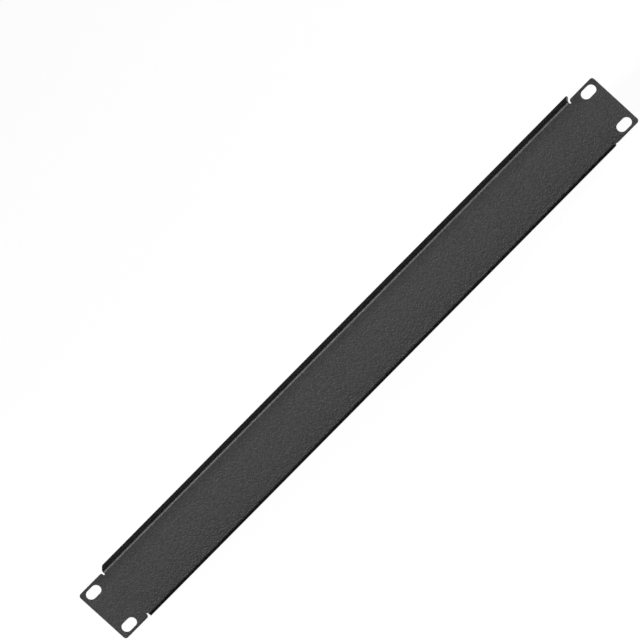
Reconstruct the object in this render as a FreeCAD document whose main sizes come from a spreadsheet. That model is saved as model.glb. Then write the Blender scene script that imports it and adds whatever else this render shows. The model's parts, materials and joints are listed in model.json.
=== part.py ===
# Rack blanking panel, one unit high: a single steel sheet with both long edges folded back.
#
# +X runs along the panel, +Z is up and the front face looks towards -Y. The origin is the centre of
# the four mounting slots, on the rear face of the ears, which is the face that seats on the rack.
# The upper right quarter is modelled and then mirrored twice. Lengths are millimetres.

import FreeCAD, Part

import math
import os

import Sketcher
from FreeCAD import Vector

NODE = "blanking_panel"

SIZES = (
    ("panel_width", 482.6, "across both ears"),
    ("panel_height", 44.0, "across both folded flanges"),
    ("sheet_thickness", 1.5, "steel sheet with its coating"),
    ("ear_setback", 0.8, "from the outside of a flange down to the edge of the ear beside it"),
    ("ear_corner_radius", 2.0, "outer corners of the ears"),
    ("ear_width", 22.8, "from the end of the panel in to the end of a fold"),
    ("bend_radius", 1.0, "inside of each fold"),
    ("flange_depth", 13.5, "from the front face to the free edge of a flange"),
    ("flange_corner_radius", 1.0, "free corners of the flanges"),
    ("relief_width", 1.2, "notch that frees each end of a fold from the ear"),
    ("relief_overrun", 0.1, "straight wall of the notch past the bend line, before its round end"),
    ("relief_corner_radius", 1.5, "inner corner of the ear, at the mouth of the notch"),
    ("slot_end_distance", 8.75, "slot centre to the end of the panel, which spaces the slots 465.1 across"),
    ("slot_top_distance", 6.125, "slot centre to the outside of a flange, which spaces them 31.75 up"),
    ("slot_length", 11.4, "end to end"),
    ("slot_width", 7.0, "clears an M6 screw"),
    ("edge_radius", 0.2, "cut edges of the outer side, which punching rounds"),
)

# Places that several features share, written as spreadsheet expressions
FOLD_END = "Sizes.panel_width / 2 - Sizes.ear_width"
BEND_LINE = "Sizes.panel_height / 2 - Sizes.bend_radius - Sizes.sheet_thickness"
EAR_TOP = "Sizes.panel_height / 2 - Sizes.ear_setback"

# The points of a line or arc in the order that a sketch counts them, and the sketch's own origin
START, END, CENTRE = range(1, 4)
ORIGIN = (-1, 1)

# Distances below NEAR count as none, and faces that turn by less than SMOOTH_TURN run on smoothly
NEAR = 1e-6
SMOOTH_TURN = math.radians(60)
VOLUME_TOLERANCE = 1e-3


def make_sheet(doc):
    """Put the driving dimensions in a spreadsheet, one named cell each."""
    sheet = doc.addObject("Spreadsheet::Sheet", "Sizes")
    for row, (name, value, meaning) in enumerate(SIZES, start=1):
        sheet.set(f"A{row}", meaning)
        sheet.set(f"B{row}", str(value))
        sheet.setAlias(f"B{row}", name)
    doc.recompute()
    return sheet


def origin_plane(body, role):
    return next(plane for plane in body.Origin.OriginFeatures if plane.Role == role)


def new_sketch(body, name, role):
    """Start a sketch on one of the body's own origin planes."""
    sketch = body.newObject("Sketcher::SketchObject", name)
    sketch.AttachmentSupport = [(origin_plane(body, role), "")]
    sketch.MapMode = "FlatFace"
    return sketch


def line(sketch, start, end):
    return sketch.addGeometry(Part.LineSegment(Vector(*start, 0), Vector(*end, 0)))


def arc(sketch, centre, radius, first, last):
    """Add an arc that runs anticlockwise between two angles in degrees."""
    circle = Part.Circle(Vector(*centre, 0), Vector(0, 0, 1), radius)
    return sketch.addGeometry(Part.ArcOfCircle(circle, math.radians(first), math.radians(last)))


def join(sketch, *meetings):
    """Make the given ends meet, each as line or arc, end, line or arc, end."""
    for meeting in meetings:
        sketch.addConstraint(Sketcher.Constraint("Coincident", *meeting))


def relate(sketch, *constraints):
    """Keep sides level or upright. An arc runs smoothly into a side whose end is square to its centre."""
    for constraint in constraints:
        sketch.addConstraint(Sketcher.Constraint(*constraint))


def dimension(sketch, name, expression, kind, *elements):
    """Add a named dimension that follows the spreadsheet."""
    index = sketch.addConstraint(Sketcher.Constraint(kind, *elements, 1.0))
    sketch.renameConstraint(index, name)
    sketch.setExpression(f"Constraints.{name}", expression)


def sketch_face(body, size):
    """Outline a quarter of the face, its ear and the notch at the end of the fold."""
    sketch = new_sketch(body, "face_outline", "XZ_Plane")
    half_width = size["panel_width"] / 2
    fold_end = half_width - size["ear_width"]
    bend_line = size["panel_height"] / 2 - size["bend_radius"] - size["sheet_thickness"]
    ear_top = size["panel_height"] / 2 - size["ear_setback"]
    ear_radius = size["ear_corner_radius"]
    mouth_radius = size["relief_corner_radius"]
    tip_radius = size["relief_width"] / 2
    tip_height = bend_line - size["relief_overrun"]
    ear_start = fold_end + 2 * tip_radius

    base = line(sketch, (0, 0), (half_width, 0))
    ear_end = line(sketch, (half_width, 0), (half_width, ear_top - ear_radius))
    ear_corner = arc(sketch, (half_width - ear_radius, ear_top - ear_radius), ear_radius, 0, 90)
    ear_edge = line(sketch, (half_width - ear_radius, ear_top), (ear_start + mouth_radius, ear_top))
    mouth = arc(sketch, (ear_start + mouth_radius, ear_top - mouth_radius), mouth_radius, 90, 180)
    ear_wall = line(sketch, (ear_start, ear_top - mouth_radius), (ear_start, tip_height))
    tip = arc(sketch, (fold_end + tip_radius, tip_height), tip_radius, 180, 360)
    fold_wall = line(sketch, (fold_end, tip_height), (fold_end, bend_line))
    fold_edge = line(sketch, (fold_end, bend_line), (0, bend_line))
    middle = line(sketch, (0, bend_line), (0, 0))

    join(
        sketch,
        (base, END, ear_end, START),
        (ear_end, END, ear_corner, START),
        (ear_corner, END, ear_edge, START),
        (ear_edge, END, mouth, START),
        (mouth, END, ear_wall, START),
        (ear_wall, END, tip, END),
        (tip, START, fold_wall, START),
        (fold_wall, END, fold_edge, START),
        (fold_edge, END, middle, START),
        (middle, END, base, START),
        (base, START, *ORIGIN),
    )
    relate(
        sketch,
        ("Horizontal", base),
        ("Horizontal", ear_edge),
        ("Horizontal", fold_edge),
        ("Vertical", ear_end),
        ("Vertical", ear_wall),
        ("Vertical", fold_wall),
        ("Vertical", middle),
        ("Horizontal", ear_corner, START, ear_corner, CENTRE),
        ("Vertical", ear_corner, END, ear_corner, CENTRE),
        ("Vertical", mouth, START, mouth, CENTRE),
        ("Horizontal", mouth, END, mouth, CENTRE),
        ("Horizontal", tip, START, tip, CENTRE),
        ("Horizontal", tip, END, tip, CENTRE),
    )
    dimension(sketch, "half_width", "Sizes.panel_width / 2", "DistanceX", *ORIGIN, base, END)
    dimension(sketch, "ear_top", EAR_TOP, "DistanceY", *ORIGIN, ear_edge, START)
    dimension(sketch, "bend_line", BEND_LINE, "DistanceY", *ORIGIN, fold_edge, START)
    dimension(sketch, "fold_end", FOLD_END, "DistanceX", *ORIGIN, fold_edge, START)
    dimension(sketch, "overrun", "Sizes.relief_overrun", "DistanceY", fold_wall, START, fold_wall, END)
    dimension(sketch, "tip_radius", "Sizes.relief_width / 2", "Radius", tip)
    dimension(sketch, "mouth_radius", "Sizes.relief_corner_radius", "Radius", mouth)
    dimension(sketch, "ear_radius", "Sizes.ear_corner_radius", "Radius", ear_corner)
    return sketch


def sketch_slot(body, size):
    """Outline the mounting slot of this quarter: two round ends joined by straight sides."""
    sketch = new_sketch(body, "slot_outline", "XZ_Plane")
    radius = size["slot_width"] / 2
    straight = size["slot_length"] - size["slot_width"]
    inner = size["panel_width"] / 2 - size["slot_end_distance"] - straight / 2
    outer = inner + straight
    height = size["panel_height"] / 2 - size["slot_top_distance"]

    outer_end = arc(sketch, (outer, height), radius, -90, 90)
    upper_side = line(sketch, (outer, height + radius), (inner, height + radius))
    inner_end = arc(sketch, (inner, height), radius, 90, 270)
    lower_side = line(sketch, (inner, height - radius), (outer, height - radius))

    join(
        sketch,
        (outer_end, END, upper_side, START),
        (upper_side, END, inner_end, START),
        (inner_end, END, lower_side, START),
        (lower_side, END, outer_end, START),
    )
    relate(
        sketch,
        ("Horizontal", upper_side),
        ("Horizontal", lower_side),
        ("Vertical", outer_end, START, outer_end, CENTRE),
        ("Vertical", outer_end, END, outer_end, CENTRE),
        ("Vertical", inner_end, START, inner_end, CENTRE),
        ("Vertical", inner_end, END, inner_end, CENTRE),
    )
    dimension(sketch, "slot_radius", "Sizes.slot_width / 2", "Radius", inner_end)
    dimension(
        sketch, "straight", "Sizes.slot_length - Sizes.slot_width",
        "DistanceX", inner_end, CENTRE, outer_end, CENTRE,
    )
    dimension(
        sketch, "inner_centre",
        "Sizes.panel_width / 2 - Sizes.slot_end_distance - (Sizes.slot_length - Sizes.slot_width) / 2",
        "DistanceX", *ORIGIN, inner_end, CENTRE,
    )
    dimension(
        sketch, "slot_height", "Sizes.panel_height / 2 - Sizes.slot_top_distance",
        "DistanceY", *ORIGIN, inner_end, CENTRE,
    )
    return sketch


def sketch_flange(body, size):
    """Draw the section of the upper fold, from the bend line round to the free edge."""
    sketch = new_sketch(body, "flange_section", "YZ_Plane")
    thickness = size["sheet_thickness"]
    inside = size["bend_radius"]
    outside = inside + thickness
    bend_line = size["panel_height"] / 2 - outside
    front = -thickness
    free_edge = front + size["flange_depth"]

    root = line(sketch, (0, bend_line), (front, bend_line))
    outer_bend = arc(sketch, (inside, bend_line), outside, 90, 180)
    outer_flat = line(sketch, (inside, bend_line + outside), (free_edge, bend_line + outside))
    rim = line(sketch, (free_edge, bend_line + outside), (free_edge, bend_line + inside))
    inner_flat = line(sketch, (free_edge, bend_line + inside), (inside, bend_line + inside))
    inner_bend = arc(sketch, (inside, bend_line), inside, 90, 180)

    join(
        sketch,
        (root, END, outer_bend, END),
        (outer_bend, START, outer_flat, START),
        (outer_flat, END, rim, START),
        (rim, END, inner_flat, START),
        (inner_flat, END, inner_bend, START),
        (inner_bend, END, root, START),
        (inner_bend, CENTRE, outer_bend, CENTRE),
    )
    relate(
        sketch,
        ("Vertical", root, START, *ORIGIN),
        ("Horizontal", outer_flat),
        ("Horizontal", inner_flat),
        ("Vertical", rim),
        ("Vertical", outer_bend, START, outer_bend, CENTRE),
        ("Horizontal", outer_bend, END, outer_bend, CENTRE),
        ("Vertical", inner_bend, START, inner_bend, CENTRE),
        ("Horizontal", inner_bend, END, inner_bend, CENTRE),
    )
    dimension(sketch, "bend_line", BEND_LINE, "DistanceY", *ORIGIN, root, START)
    dimension(sketch, "thickness", "Sizes.sheet_thickness", "DistanceX", root, END, root, START)
    dimension(sketch, "bend_radius", "Sizes.bend_radius", "Radius", inner_bend)
    dimension(sketch, "depth", "Sizes.flange_depth", "DistanceX", root, END, rim, START)
    return sketch


def pad(body, name, sketch, length):
    feature = body.newObject("PartDesign::Pad", name)
    feature.Profile = sketch
    feature.setExpression("Length", length)
    return feature


def pocket(body, name, sketch, length):
    """Cut towards the side that the sketch faces, where the sheet lies."""
    feature = body.newObject("PartDesign::Pocket", name)
    feature.Profile = sketch
    feature.Reversed = True
    feature.setExpression("Length", length)
    return feature


def fillet(body, name, base, edges, radius):
    feature = body.newObject("PartDesign::Fillet", name)
    feature.Base = (base, edges)
    feature.setExpression("Radius", radius)
    return feature


def mirror_whole(body, name, role):
    """Mirror everything made so far across one of the body's origin planes."""
    feature = body.newObject("PartDesign::Mirrored", name)
    feature.TransformMode = "Whole shape"
    feature.MirrorPlane = (origin_plane(body, role), [""])
    body.Tip = feature
    return feature


def free_corner(shape):
    """Name the edge through the sheet at the free corner of the flange, behind the face and outermost."""
    behind = [
        (edge.BoundBox.XMin, f"Edge{number}")
        for number, edge in enumerate(shape.Edges, start=1)
        if edge.BoundBox.XLength < NEAR and edge.BoundBox.YLength < NEAR and edge.BoundBox.YMin > NEAR
    ]
    return [max(behind)[1]]


def front_rims(shape, front):
    """Name the front face's sharp edges: its outline and the slot's. The outline runs on round the fold."""
    names = []
    for number, edge in enumerate(shape.Edges, start=1):
        box = edge.BoundBox
        on_mirror_plane = box.XMax < NEAR or box.ZMax < NEAR
        if box.YMax > front + NEAR or on_mirror_plane:
            continue
        point = edge.valueAt((edge.FirstParameter + edge.LastParameter) / 2)
        first, second = (
            face.normalAt(*face.Surface.parameter(point))
            for face in shape.ancestorsOfType(edge, Part.Face)
        )
        if first.getAngle(second) > SMOOTH_TURN:
            names.append(f"Edge{number}")
    return names


def check(doc, body):
    """Stop if anything in the document failed or the panel isn't one sound solid."""
    for item in doc.Objects:
        if "Invalid" in item.State or "Error" in item.State:
            raise RuntimeError(f"{item.Name} did not recompute: {item.State}")
    for item in doc.Objects:
        if item.TypeId == "Sketcher::SketchObject" and not item.FullyConstrained:
            raise RuntimeError(f"{item.Name} is not fully constrained")
    if body.Shape.isNull() or not body.Shape.isValid() or len(body.Shape.Solids) != 1:
        raise RuntimeError("the panel is not one valid solid")


def main():
    doc = FreeCAD.newDocument("blanking_panel_1u")
    sheet = make_sheet(doc)
    size = {name: float(sheet.get(name)) for name, _, _ in SIZES}

    body = doc.addObject("PartDesign::Body", NODE)
    body.Label = NODE
    face = pad(body, "face_and_ear", sketch_face(body, size), "Sizes.sheet_thickness")
    doc.recompute()
    uncut = face.Shape.Volume

    slot = pocket(body, "mounting_slot", sketch_slot(body, size), "Sizes.sheet_thickness")
    doc.recompute()
    straight = size["slot_length"] - size["slot_width"]
    slot_area = math.pi * size["slot_width"] ** 2 / 4 + straight * size["slot_width"]
    removed = uncut - slot.Shape.Volume
    if abs(removed - slot_area * size["sheet_thickness"]) > VOLUME_TOLERANCE:
        raise RuntimeError("the mounting slot is not cut through the sheet")

    flange = pad(body, "folded_flange", sketch_flange(body, size), FOLD_END)
    doc.recompute()
    corner = fillet(
        body, "flange_corner", flange, free_corner(flange.Shape), "Sizes.flange_corner_radius"
    )
    doc.recompute()
    rims = front_rims(corner.Shape, -size["sheet_thickness"])
    edges = fillet(body, "rounded_rims", corner, rims, "Sizes.edge_radius")
    doc.recompute()

    mirror_whole(body, "right_and_left", "YZ_Plane")
    doc.recompute()
    mirror_whole(body, "top_and_bottom", "XY_Plane")
    doc.recompute()
    check(doc, body)

    whole = 4 * edges.Shape.Volume
    if abs(body.Shape.Volume - whole) > VOLUME_TOLERANCE * whole:
        raise RuntimeError("the mirrors did not complete the panel")

    os.makedirs("parts", exist_ok=True)
    body.Shape.exportStep(f"parts/{NODE}.step")
    box = body.Shape.optimalBoundingBox()
    print(f"{NODE}: {box.XLength:.2f} x {box.YLength:.2f} x {box.ZLength:.2f} mm, "
          f"{body.Shape.Volume / 1000:.2f} cm3, {len(body.Shape.Faces)} faces")


main()
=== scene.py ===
# Looks of the rack blanking panel: a punched blank folded along both long edges, in textured black
# powder coat, standing on its lower fold on a pale floor. Metres, in the same frame as the construction:
# +X along the panel, +Z up, and the front face looks towards -Y.

import json
import math

import bpy
from mathutils import Matrix, Vector


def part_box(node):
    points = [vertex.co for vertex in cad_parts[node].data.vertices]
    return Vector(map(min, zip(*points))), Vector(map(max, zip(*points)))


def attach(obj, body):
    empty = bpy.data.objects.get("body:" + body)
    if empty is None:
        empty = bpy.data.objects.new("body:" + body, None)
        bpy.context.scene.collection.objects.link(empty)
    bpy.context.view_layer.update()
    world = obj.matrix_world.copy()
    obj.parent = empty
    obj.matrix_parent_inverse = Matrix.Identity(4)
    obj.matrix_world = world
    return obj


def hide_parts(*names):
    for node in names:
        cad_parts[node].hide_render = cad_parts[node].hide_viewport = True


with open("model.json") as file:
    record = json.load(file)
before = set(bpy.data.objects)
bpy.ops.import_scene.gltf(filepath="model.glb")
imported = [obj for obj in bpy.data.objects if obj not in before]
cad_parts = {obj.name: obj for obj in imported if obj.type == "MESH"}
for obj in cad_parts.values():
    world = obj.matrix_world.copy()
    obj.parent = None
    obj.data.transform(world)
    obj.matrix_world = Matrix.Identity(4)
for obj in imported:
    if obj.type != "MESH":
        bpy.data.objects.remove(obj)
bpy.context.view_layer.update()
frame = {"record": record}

MM = 0.001

# Sizes that the frame gives
BOX_LOW, BOX_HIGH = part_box("blanking_panel")
SLOTS = next(m["dims"] for m in frame["record"]["mounts"] if m["name"] == "rack_slots")

PANEL_SIZES = {
    "Panel Width": BOX_HIGH.x - BOX_LOW.x,
    "Panel Height": BOX_HIGH.z - BOX_LOW.z,
    "Sheet Thickness": -BOX_LOW.y,
    "Bend Radius": 1.0 * MM,
    "Flange Depth": BOX_HIGH.y - BOX_LOW.y,
    "Flange Corner Radius": 1.0 * MM,
    "Ear Width": 22.8 * MM,
    "Ear Setback": 0.8 * MM,
    "Ear Corner Radius": 2.0 * MM,
    "Relief Width": 1.2 * MM,
    "Relief Overrun": 0.1 * MM,
    "Relief Corner Radius": 1.5 * MM,
    "Slot Spacing Across": SLOTS["spacing_x_mm"] * MM,
    "Slot Spacing Up": SLOTS["spacing_y_mm"] * MM,
    "Slot Length": SLOTS["slot_length_mm"] * MM,
    "Slot Width": 2 * SLOTS["hole_r_mm"] * MM,
}
PANEL_COUNTS = {
    "Bend Rows": 16,
    "Corner Points": 10,
    "Slot End Points": 16,
}
EDGE_RADIUS = 0.2 * MM
EDGE_SEGMENTS = 3
SHARP_ANGLE = math.radians(35)
WELD_DISTANCE = 0.002 * MM

# Powder coat. Its rise towards the folds is fitted to the shading of the photo.
GRAINS_PER_METRE = 1000.0
GRAIN_DETAIL = 0.5
GRAIN_TONES = (0.001, 0.022)
GRAIN_DEPTH = 0.15 * MM
GRAIN_SHARE_ON_BENDS = 0.6
MOTTLES_PER_METRE = 70.0
MOTTLE_DETAIL = 1.0
MOTTLE_TONES = (0.94, 1.06)
MOTTLE_ROUGHNESS = (0.415, 0.435)
RISE_START = 10.0 * MM
UPPER_RISE = 0.75 * MM
LOWER_RISE = 0.2 * MM

# Camera: the photo is 640 pixels square, nearly without perspective
PHOTO_PIXELS = 640
PIXELS_PER_METRE = 1545.7
PANEL_CENTRE_PIXEL = (358.2, 359.4)
CAMERA_AZIMUTH = math.radians(12.04)
CAMERA_ELEVATION = math.radians(11.19)
CAMERA_ROLL = math.radians(-47.7)
CAMERA_DISTANCE = 16.0
SENSOR_WIDTH_MM = 36.0

# Floor, whose shades start and end at these open shares of the sky
FLOOR_GAP = 0.05 * MM
FLOOR_HALF_WIDTH = 30.0
FLOOR_GLOW = 0.93
FLOOR_TONE = 0.2
CONTACT_REACH = 0.8 * MM
CONTACT_OPENNESS = (0.5, 0.95)
SHADE_REACH = 40.0 * MM
SHADE_OPENNESS = (0.65, 0.88)
SKY_SAMPLES = 8

# Lamps and room, where a height is that of a direction of length 1
LAMP_DISTANCE = 2.5
WALL_TOP = (0.03, 0.04)
WALL_TONE = 1.0
ROOM_TONE = 0.03


class Size:
    """A size inside a node tree, on which sums, products and the rest add Math nodes."""

    def __init__(self, tree, socket):
        self.tree = tree
        self.socket = socket

    def math(self, operation, *others):
        node = self.tree.nodes.new("ShaderNodeMath")
        node.operation = operation
        for slot, value in zip(node.inputs, (self, *others)):
            plug(self.tree, slot, value)
        return Size(self.tree, node.outputs[0])

    def __add__(self, other):
        return self.math("ADD", other)

    def __sub__(self, other):
        return self.math("SUBTRACT", other)

    def __mul__(self, other):
        return self.math("MULTIPLY", other)

    def __truediv__(self, other):
        return self.math("DIVIDE", other)


def plug(tree, slot, value):
    """Give a node's input a size, another node's output or a plain value."""
    if isinstance(value, Size):
        tree.links.new(value.socket, slot)
    elif isinstance(value, bpy.types.NodeSocket):
        tree.links.new(value, slot)
    else:
        slot.default_value = value


def add_node(tree, kind, settings=None, **inputs):
    """Add a node, set its options and plug its inputs, which are named with _ for each space."""
    node = tree.nodes.new(kind)
    for name, value in (settings or {}).items():
        setattr(node, name, value)
    for name, value in inputs.items():
        plug(tree, node.inputs[name.replace("_", " ")], value)
    return node


def vector(tree, x, y, z=0.0):
    return add_node(tree, "ShaderNodeCombineXYZ", X=x, Y=y, Z=z).outputs[0]


def pick_by_index(tree, kind, values):
    """Give each point its own entry of a list."""
    node = add_node(tree, "GeometryNodeIndexSwitch", {"data_type": kind})
    while len(node.index_switch_items) < len(values):
        node.index_switch_items.new()
    for number, value in enumerate(values):
        plug(tree, node.inputs[str(number)], value)
    plug(tree, node.inputs["Index"], add_node(tree, "GeometryNodeInputIndex").outputs[0])
    return node.outputs[0]


def rounded_outline(tree, corners, points_per_corner):
    """Join corners, each x, y and radius, into a closed outline with round corners."""
    places = pick_by_index(tree, "VECTOR", [vector(tree, x, y) for x, y, _ in corners])
    radii = pick_by_index(tree, "FLOAT", [radius for _, _, radius in corners])
    points = add_node(tree, "GeometryNodePoints", Count=len(corners), Position=places)
    curve = add_node(tree, "GeometryNodePointsToCurves", Points=points.outputs[0])
    closed = add_node(tree, "GeometryNodeSetSplineCyclic", Geometry=curve.outputs[0], Cyclic=True)
    return add_node(
        tree, "GeometryNodeFilletCurve", {"mode": "POLY"},
        Curve=closed.outputs[0], Count=points_per_corner, Radius=radii, Limit_Radius=True,
    ).outputs[0]


def join(tree, *parts):
    node = add_node(tree, "GeometryNodeJoinGeometry")
    for part in reversed(parts):
        tree.links.new(part, node.inputs[0])
    return node.outputs[0]


def weld(tree, mesh):
    return add_node(
        tree, "GeometryNodeMergeByDistance", Geometry=mesh, Distance=WELD_DISTANCE
    ).outputs[0]


def fill(tree, *outlines):
    node = add_node(tree, "GeometryNodeFillCurve", {"mode": "NGONS"}, Curve=join(tree, *outlines))
    return node.outputs[0]


def moved(tree, geometry, x, y):
    place = vector(tree, x, y)
    return add_node(tree, "GeometryNodeTransform", Geometry=geometry, Translation=place).outputs[0]


def mirrored(tree, mesh, scale):
    """Add the mirror image of a mesh and weld the two along the middle."""
    image = add_node(tree, "GeometryNodeTransform", Geometry=mesh, Scale=scale).outputs[0]
    flipped = add_node(tree, "GeometryNodeFlipFaces", Mesh=image).outputs[0]
    return weld(tree, join(tree, mesh, flipped))


def tree_with_inputs(name, sizes, counts):
    """Start a geometry tree and return it, its group input's sizes by name and its output node."""
    tree = bpy.data.node_groups.new(name, "GeometryNodeTree")
    tree.interface.new_socket("Geometry", in_out="OUTPUT", socket_type="NodeSocketGeometry")
    for label in sizes:
        socket = tree.interface.new_socket(label, in_out="INPUT", socket_type="NodeSocketFloat")
        socket.subtype = "DISTANCE"
    for label in counts:
        tree.interface.new_socket(label, in_out="INPUT", socket_type="NodeSocketInt")
    tree.interface.new_socket("Material", in_out="INPUT", socket_type="NodeSocketMaterial")
    start = tree.nodes.new("NodeGroupInput")
    given = {socket.name: Size(tree, socket) for socket in start.outputs if socket.name}
    return tree, given, tree.nodes.new("NodeGroupOutput")


def face_quarter(tree, size, bend_line):
    """The upper right quarter of the flat face up to the bend line, with its ear, notch and slot."""
    half_width = size["Panel Width"] / 2
    fold_end = half_width - size["Ear Width"]
    ear_start = fold_end + size["Relief Width"]
    ear_top = size["Panel Height"] / 2 - size["Ear Setback"]
    tip_radius = size["Relief Width"] / 2
    tip_bottom = bend_line - size["Relief Overrun"] - tip_radius
    outline = rounded_outline(
        tree,
        (
            (0.0, 0.0, 0.0),
            (half_width, 0.0, 0.0),
            (half_width, ear_top, size["Ear Corner Radius"]),
            (ear_start, ear_top, size["Relief Corner Radius"]),
            (ear_start, tip_bottom, tip_radius),
            (fold_end, tip_bottom, tip_radius),
            (fold_end, bend_line, 0.0),
            (0.0, bend_line, 0.0),
        ),
        size["Corner Points"],
    )
    slot = add_node(
        tree, "GeometryNodeCurvePrimitiveQuadrilateral",
        Width=size["Slot Length"], Height=size["Slot Width"],
    )
    round_slot = add_node(
        tree, "GeometryNodeFilletCurve", {"mode": "POLY"},
        Curve=slot.outputs[0], Count=size["Slot End Points"], Radius=size["Slot Width"] / 2,
        Limit_Radius=True,
    )
    placed = moved(
        tree, round_slot.outputs[0], size["Slot Spacing Across"] / 2, size["Slot Spacing Up"] / 2
    )
    return fill(tree, outline, placed)


def bend_strip(tree, size, fold_end, bend_line, allowance):
    """The strip that takes the bend, in rows from the bend line to the start of the flange."""
    strip = add_node(
        tree, "GeometryNodeMeshGrid",
        Size_X=fold_end, Size_Y=allowance, Vertices_X=2, Vertices_Y=size["Bend Rows"] + 1,
    )
    return moved(tree, strip.outputs[0], fold_end / 2, bend_line + allowance / 2)


def flange_quarter(tree, size, fold_end, flange_start, flange_end):
    """The flat flange beyond the bend, with its round free corner."""
    outline = rounded_outline(
        tree,
        (
            (0.0, flange_start, 0.0),
            (fold_end, flange_start, 0.0),
            (fold_end, flange_end, size["Flange Corner Radius"]),
            (0.0, flange_end, 0.0),
        ),
        size["Corner Points"],
    )
    return fill(tree, outline)


def thicken(tree, mesh, thickness):
    """Give the flat sheet its thickness towards the front, closed all round."""
    raised = add_node(
        tree, "GeometryNodeExtrudeMesh", {"mode": "FACES"},
        Mesh=mesh, Offset=vector(tree, 0.0, 0.0, 1.0), Offset_Scale=thickness, Individual=False,
    ).outputs[0]
    back = add_node(tree, "GeometryNodeFlipFaces", Mesh=mesh).outputs[0]
    return weld(tree, join(tree, raised, back))


def fold(tree, mesh, size, fold_end, bend_line, neutral_radius, allowance):
    """Fold the blank back along both bend lines and stand it up, front face towards -Y."""
    place = add_node(tree, "GeometryNodeInputPosition").outputs[0]
    axes = add_node(tree, "ShaderNodeSeparateXYZ", Vector=place).outputs
    along, across, through = (Size(tree, axis) for axis in axes)
    middle_of_notch = fold_end + size["Relief Width"] / 2
    on_fold = along.math("ABSOLUTE").math("LESS_THAN", middle_of_notch)
    past_line = (across.math("ABSOLUTE") - bend_line).math("MAXIMUM", 0.0) * on_fold
    turn = past_line.math("MINIMUM", allowance) / neutral_radius
    beyond = (past_line - allowance).math("MAXIMUM", 0.0)
    radius = size["Bend Radius"] + through
    back = size["Bend Radius"] - radius * turn.math("COSINE") + beyond
    flat = across.math("ABSOLUTE") - past_line
    up = (flat + radius * turn.math("SINE")) * across.math("SIGN")
    return add_node(
        tree, "GeometryNodeSetPosition", Geometry=mesh, Position=vector(tree, along, back, up)
    ).outputs[0]


def folded_panel_tree():
    """Node tree of the panel: lay out the flat blank, give it its thickness and fold it."""
    tree, size, end = tree_with_inputs("folded_panel", PANEL_SIZES, PANEL_COUNTS)
    thickness = size["Sheet Thickness"]
    outer_radius = size["Bend Radius"] + thickness
    neutral_radius = size["Bend Radius"] + thickness / 2
    allowance = neutral_radius * (math.pi / 2)
    fold_end = size["Panel Width"] / 2 - size["Ear Width"]
    bend_line = size["Panel Height"] / 2 - outer_radius
    flange_start = bend_line + allowance
    flange_end = flange_start + size["Flange Depth"] - outer_radius

    quarter = join(
        tree,
        face_quarter(tree, size, bend_line),
        bend_strip(tree, size, fold_end, bend_line, allowance),
        flange_quarter(tree, size, fold_end, flange_start, flange_end),
    )
    half = mirrored(tree, weld(tree, quarter), (-1.0, 1.0, 1.0))
    blank = mirrored(tree, half, (1.0, -1.0, 1.0))
    sheet = thicken(tree, blank, thickness)
    folded = fold(tree, sheet, size, fold_end, bend_line, neutral_radius, allowance)
    smooth = add_node(tree, "GeometryNodeSetShadeSmooth", Geometry=folded).outputs[0]
    whole = add_node(tree, "GeometryNodeRealizeInstances", Geometry=smooth).outputs[0]
    coated = add_node(tree, "GeometryNodeSetMaterial", Geometry=whole, Material=size["Material"])
    tree.links.new(coated.outputs[0], end.inputs["Geometry"])
    return tree


def set_inputs(modifier, values):
    """Set a Geometry Nodes modifier's inputs by the sockets' identifiers."""
    for socket in modifier.node_group.interface.items_tree:
        if socket.in_out == "INPUT":
            modifier[socket.identifier] = values[socket.name]


def make_panel(coat):
    """The finished panel: folded blank with its punched edges rounded, as one plain mesh."""
    carrier = bpy.data.objects.new("panel_blank", bpy.data.meshes.new("panel_blank"))
    bpy.context.scene.collection.objects.link(carrier)
    nodes = carrier.modifiers.new("folded_panel", "NODES")
    nodes.node_group = folded_panel_tree()
    set_inputs(nodes, {**PANEL_SIZES, **PANEL_COUNTS, "Material": coat})
    edges = carrier.modifiers.new("rounded_edges", "BEVEL")
    edges.width = EDGE_RADIUS
    edges.segments = EDGE_SEGMENTS
    edges.limit_method = "ANGLE"
    edges.angle_limit = SHARP_ANGLE
    edges.use_clamp_overlap = False
    carrier.modifiers.new("flat_faces_flat", "WEIGHTED_NORMAL")

    graph = bpy.context.evaluated_depsgraph_get()
    mesh = bpy.data.meshes.new_from_object(
        carrier.evaluated_get(graph), preserve_all_data_layers=True, depsgraph=graph
    )
    mesh.name = "folded_panel"
    bpy.data.objects.remove(carrier)
    panel = bpy.data.objects.new("folded_panel", mesh)
    bpy.context.scene.collection.objects.link(panel)
    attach(panel, "root")
    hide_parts("blanking_panel")
    return panel


def new_material(name):
    material = bpy.data.materials.new(name)
    material.use_nodes = True
    material.node_tree.nodes.clear()
    return material, material.node_tree


def noise(tree, place, scale, detail):
    node = add_node(tree, "ShaderNodeTexNoise", Vector=place, Scale=scale, Detail=detail)
    return node.outputs[0]


def ramp(tree, value, start, end, low=0.0, high=1.0, shape="LINEAR"):
    """Go from low to high while a value goes from start to end, and stay level beyond them."""
    node = add_node(
        tree, "ShaderNodeMapRange", {"interpolation_type": shape},
        Value=value, From_Min=start, From_Max=end, To_Min=low, To_Max=high,
    )
    return Size(tree, node.outputs[0])


def spread(tree, value, low, high):
    """Spread a noise value, which mostly lies between a third and two thirds, over a range."""
    return ramp(tree, value, 1 / 3, 2 / 3, low, high)


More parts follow.
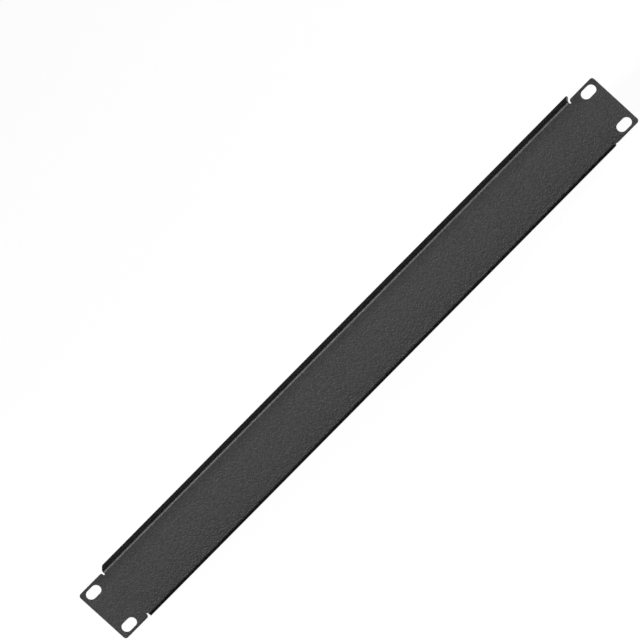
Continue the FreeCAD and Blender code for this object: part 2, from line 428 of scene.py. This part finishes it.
def powder_coat():
    """Fine-textured matt black powder coat.

    The pebbled film is smoother where it is drawn round the bends. Its relief also rises towards the
    folds, the upper one above all. That rise only shades the face as the photo shows it, and is no form
    that was seen.
    """
    material, tree = new_material("powder_coat")
    place = add_node(tree, "ShaderNodeTexCoord").outputs["Object"]
    grain = noise(tree, place, GRAINS_PER_METRE, GRAIN_DETAIL)
    mottle = noise(tree, place, MOTTLES_PER_METRE, MOTTLE_DETAIL)
    tone = spread(tree, grain, *GRAIN_TONES) * spread(tree, mottle, *MOTTLE_TONES)
    colour = add_node(tree, "ShaderNodeCombineColor", Red=tone, Green=tone, Blue=tone).outputs[0]

    up = Size(tree, add_node(tree, "ShaderNodeSeparateXYZ", Vector=place).outputs["Z"])
    half_height = BOX_HIGH.z
    bend_line = half_height - PANEL_SIZES["Sheet Thickness"] - PANEL_SIZES["Bend Radius"]
    middle_of_bend = (bend_line + half_height) / 2
    off_middle = up.math("ABSOLUTE")
    grain_share = ramp(tree, off_middle, bend_line, middle_of_bend, 1.0, GRAIN_SHARE_ON_BENDS)
    full_rise = ramp(tree, up, -RISE_START, RISE_START, LOWER_RISE, UPPER_RISE)
    rise = ramp(tree, off_middle, RISE_START, half_height).math("POWER", 3.0) * full_rise
    relief = grain_share * GRAIN_DEPTH * grain + rise
    bump = add_node(tree, "ShaderNodeBump", Height=relief, Strength=1.0, Distance=1.0)

    shader = add_node(
        tree, "ShaderNodeBsdfPrincipled",
        Base_Color=colour, Roughness=spread(tree, mottle, *MOTTLE_ROUGHNESS), Normal=bump.outputs[0],
    )
    shader.inputs["Specular IOR Level"].default_value = 0.5
    add_node(tree, "ShaderNodeOutputMaterial", Surface=shader.outputs[0])
    return material


def open_floor(tree, reach, shaded, clear):
    """Rise from 0 to 1 as the open share of the sky goes from shaded to clear, within a reach."""
    sky = add_node(tree, "ShaderNodeAmbientOcclusion", {"samples": SKY_SAMPLES}, Distance=reach)
    return ramp(tree, sky.outputs["AO"], shaded, clear)


def pale_floor():
    """White to the eye and in reflections, darker where the panel stands on it or shades it.

    Its matt part, which takes the lamps' light and shadow, is for the eye alone.
    """
    material, tree = new_material("pale_floor")
    rays = add_node(tree, "ShaderNodeLightPath").outputs
    to_eye = Size(tree, rays["Is Camera Ray"])
    to_gloss = Size(tree, rays["Is Glossy Ray"]).math("MAXIMUM", rays["Is Transmission Ray"])
    seen = to_eye * open_floor(tree, CONTACT_REACH, *CONTACT_OPENNESS)
    mirrored = to_gloss * open_floor(tree, SHADE_REACH, *SHADE_OPENNESS)
    glow = add_node(tree, "ShaderNodeEmission", Strength=seen.math("MAXIMUM", mirrored) * FLOOR_GLOW)
    matt = add_node(tree, "ShaderNodeBsdfDiffuse", Color=to_eye * FLOOR_TONE)
    total = add_node(tree, "ShaderNodeAddShader")
    tree.links.new(glow.outputs[0], total.inputs[0])
    tree.links.new(matt.outputs[0], total.inputs[1])
    add_node(tree, "ShaderNodeOutputMaterial", Surface=total.outputs[0])
    return material


def make_floor():
    """A level floor just under the fold that the panel stands on."""
    height = BOX_LOW.z - FLOOR_GAP
    far = FLOOR_HALF_WIDTH
    corners = [(-far, -far, height), (far, -far, height), (far, far, height), (-far, far, height)]
    mesh = bpy.data.meshes.new("floor")
    mesh.from_pydata(corners, [], [(0, 1, 2, 3)])
    mesh.materials.append(pale_floor())
    floor = bpy.data.objects.new("floor", mesh)
    bpy.context.scene.collection.objects.link(floor)


def direction(azimuth, elevation):
    """Unit vector from the panel towards a bearing: azimuth 0 is in front, 90 at the right."""
    return Vector((
        math.sin(azimuth) * math.cos(elevation),
        -math.cos(azimuth) * math.cos(elevation),
        math.sin(elevation),
    ))


def soft_lamp(name, azimuth, elevation, width, height, level):
    """A soft box aimed at the panel. A level of 1 shows a facing surface at its own colour."""
    data = bpy.data.lights.new(name, "AREA")
    data.shape = "RECTANGLE"
    data.size = width
    data.size_y = height
    data.energy = level * math.pi * math.pi * LAMP_DISTANCE ** 2
    lamp = bpy.data.objects.new(name, data)
    towards = direction(math.radians(azimuth), math.radians(elevation))
    lamp.location = towards * LAMP_DISTANCE
    lamp.rotation_mode = "QUATERNION"
    lamp.rotation_quaternion = towards.to_track_quat("Z", "Y")
    bpy.context.scene.collection.objects.link(lamp)


def make_lights():
    """A long low soft box in front, which lights the upper bend, and two from behind at the sides."""
    soft_lamp("front_soft_box", azimuth=-12, elevation=18, width=1.2, height=0.4, level=0.80)
    soft_lamp("rear_right_soft_box", azimuth=125, elevation=12, width=1.0, height=0.6, level=0.5)
    soft_lamp("rear_left_soft_box", azimuth=-105, elevation=10, width=1.0, height=0.6, level=0.3)


def make_surroundings():
    """A dim room with a pale wall low down all round, which continues the floor to the horizon."""
    world = bpy.data.worlds.new("studio")
    bpy.context.scene.world = world
    world.use_nodes = True
    tree = world.node_tree
    tree.nodes.clear()
    way = add_node(tree, "ShaderNodeTexCoord").outputs["Generated"]
    height = add_node(tree, "ShaderNodeSeparateXYZ", Vector=way).outputs["Z"]
    tone = ramp(tree, height, *WALL_TOP, WALL_TONE, ROOM_TONE, "SMOOTHSTEP")
    colour = add_node(tree, "ShaderNodeCombineColor", Red=tone, Green=tone, Blue=tone).outputs[0]
    sky = add_node(tree, "ShaderNodeBackground", Color=colour, Strength=1.0)
    add_node(tree, "ShaderNodeOutputWorld", Surface=sky.outputs[0])


def make_camera():
    """Stand where the photo was taken from, rolled so that the panel runs up to the right."""
    back = direction(CAMERA_AZIMUTH, CAMERA_ELEVATION)
    level_right = Vector((math.cos(CAMERA_AZIMUTH), math.sin(CAMERA_AZIMUTH), 0.0))
    level_up = back.cross(level_right)
    right = math.cos(CAMERA_ROLL) * level_right + math.sin(CAMERA_ROLL) * level_up
    up = back.cross(right)

    data = bpy.data.cameras.new("camera")
    data.sensor_width = SENSOR_WIDTH_MM
    frame_width = PHOTO_PIXELS / PIXELS_PER_METRE
    data.lens = SENSOR_WIDTH_MM * CAMERA_DISTANCE / frame_width
    data.clip_start = CAMERA_DISTANCE / 100
    data.clip_end = CAMERA_DISTANCE * 10
    camera = bpy.data.objects.new("camera", data)
    middle = PHOTO_PIXELS / 2
    aside = (PANEL_CENTRE_PIXEL[0] - middle) / PIXELS_PER_METRE
    below = (PANEL_CENTRE_PIXEL[1] - middle) / PIXELS_PER_METRE
    face_centre = Vector((0.0, BOX_LOW.y, 0.0))
    aim = face_centre - right * aside + up * below
    turn = Matrix((right, up, back)).transposed()
    camera.matrix_world = Matrix.Translation(aim + back * CAMERA_DISTANCE) @ turn.to_4x4()
    bpy.context.scene.collection.objects.link(camera)
    bpy.context.scene.camera = camera


make_panel(powder_coat())
make_floor()
make_lights()
make_surroundings()
make_camera()
bpy.context.scene.view_settings.view_transform = "Standard"
